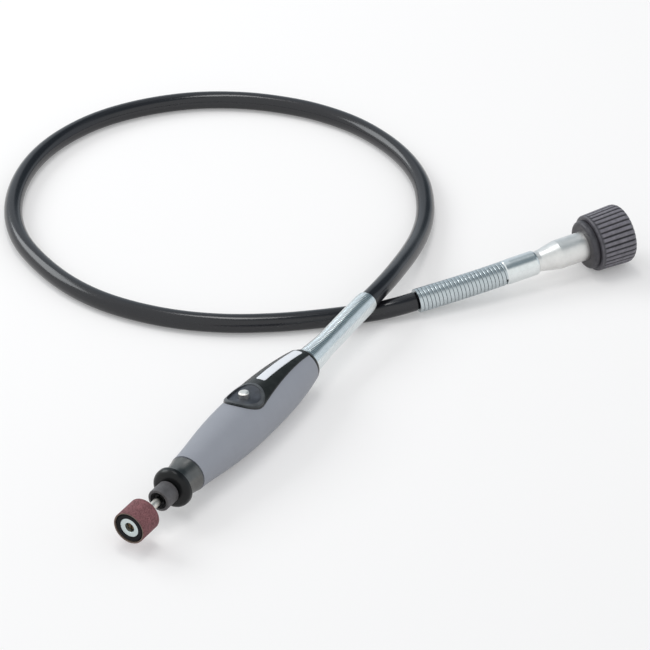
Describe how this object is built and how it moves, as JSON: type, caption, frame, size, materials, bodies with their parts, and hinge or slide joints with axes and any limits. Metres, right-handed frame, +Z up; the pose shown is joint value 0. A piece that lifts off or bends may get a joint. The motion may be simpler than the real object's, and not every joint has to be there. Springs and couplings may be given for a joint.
{
  "type": "rotary tool flexible shaft attachment",
  "caption": "Flexible shaft for a rotary tool: slim handpiece with sanding drum, collet and spindle lock button, spring guards, coiled rubber-jacketed cable and ribbed screw-on coupling nut.",
  "frame": {"origin": "on the surface that the tool lies on, under the middle of the handpiece with its drum", "axes": "+X along the handpiece from the sanding drum to the tail, +Z up"},
  "size_m": [0.3326, 0.2835, 0.0271],
  "materials": {
    "grip_grey": "soft-touch grey, fine satin",
    "black_plastic": "moulded black, semi-gloss",
    "dark_plastic": "moulded dark grey",
    "polished_steel": "polished",
    "spring_steel": "bright plated wire",
    "turned_steel": "turned and plated",
    "bearing_steel": "ground",
    "nut_steel": "satin, darkened",
    "brass": "plain",
    "drum_rubber": "black, matt",
    "abrasive": "dark red-brown abrasive cloth, gritty",
    "zinc_plate": "pale zinc plate",
    "core_steel": "drawn wire",
    "casing_steel": "wound strip, dull",
    "jacket_rubber": "smooth black, soft sheen",
    "fitting_steel": "bright nickel plate",
    "knob_plastic": "moulded near-black, semi-gloss"
  },
  "bodies": {
    "handpiece": {"nose_cap": "black_plastic", "housing": "dark_plastic", "grip_sleeve": "grip_grey", "top_cover": "black_plastic", "lock_spring": "spring_steel", "front_bearing_outer": "bearing_steel", "rear_bearing_outer": "bearing_steel", "preload_washer": "bearing_steel", "casing_socket": "turned_steel", "handpiece_casing": "casing_steel", "handpiece_spring": "spring_steel", "cable_jacket": "jacket_rubber", "driver_casing": "casing_steel", "driver_spring": "spring_steel", "crimp_sleeve": "fitting_steel", "end_fitting": "fitting_steel", "core_bush": "brass"},
    "spindle": {"spindle": "turned_steel", "front_bearing_inner": "bearing_steel", "rear_bearing_inner": "bearing_steel", "collet": "turned_steel", "core_end": "core_steel"},
    "front_balls": {"front_bearing_balls": "polished_steel", "front_bearing_cage": "brass"},
    "rear_balls": {"rear_bearing_balls": "polished_steel", "rear_bearing_cage": "brass"},
    "collet_nut": {"collet_nut": "nut_steel"},
    "mandrel": {"mandrel": "turned_steel", "rubber_drum": "drum_rubber", "drum_washer": "zinc_plate"},
    "sanding_band": {"sanding_band": "abrasive"},
    "drum_screw": {"drum_screw": "brass"},
    "lock_button": {"lock_button": "polished_steel"},
    "coupling_nut": {"coupling_nut": "knob_plastic"},
    "core_tip": {"core_tip": "core_steel"}
  },
  "joints": [
    {"name": "spindle_spin", "type": "hinge", "parent": "handpiece", "child": "spindle", "pos_m": [0, 0, 0.0112], "axis": [1, 0, 0], "continuous": true},
    {"name": "front_balls_roll", "type": "hinge", "parent": "handpiece", "child": "front_balls", "pos_m": [0, 0, 0.0112], "axis": [1, 0, 0], "continuous": true},
    {"name": "rear_balls_roll", "type": "hinge", "parent": "handpiece", "child": "rear_balls", "pos_m": [0, 0, 0.0112], "axis": [1, 0, 0], "continuous": true},
    {"name": "core_tip_spin", "type": "hinge", "parent": "handpiece", "child": "core_tip", "pos_m": [0.1729, -0.0358, 0.0094], "axis": [0.8361, -0.543, 0.0785], "continuous": true},
    {"name": "collet_nut_turn", "type": "hinge", "parent": "spindle", "child": "collet_nut", "pos_m": [0, 0, 0.0112], "axis": [-1, 0, 0], "range_deg": [0, 720]},
    {"name": "mandrel_pull", "type": "slide", "parent": "spindle", "child": "mandrel", "axis": [-1, 0, 0], "range_m": [0, 0.018]},
    {"name": "band_slide", "type": "slide", "parent": "mandrel", "child": "sanding_band", "axis": [-1, 0, 0], "range_m": [0, 0.011]},
    {"name": "drum_screw_turn", "type": "hinge", "parent": "mandrel", "child": "drum_screw", "pos_m": [0, 0, 0.0112], "axis": [-1, 0, 0], "range_deg": [0, 360]},
    {"name": "lock_button_press", "type": "slide", "parent": "handpiece", "child": "lock_button", "axis": [0, -0.1045, -0.9945], "range_m": [0, 0.0016], "stiffness_N_per_m": 600, "springref_m": -0.001, "deforming": ["lock_spring"]},
    {"name": "coupling_nut_spin", "type": "hinge", "parent": "handpiece", "child": "coupling_nut", "pos_m": [0.1729, -0.0358, 0.0094], "axis": [0.8361, -0.543, 0.0785], "continuous": true}
  ],
  "couplings": [
    {"joint": "front_balls_roll", "follows": "spindle_spin", "ratio": 0.4111},
    {"joint": "rear_balls_roll", "follows": "spindle_spin", "ratio": 0.4111},
    {"joint": "core_tip_spin", "follows": "spindle_spin", "ratio": 1}
  ]
}
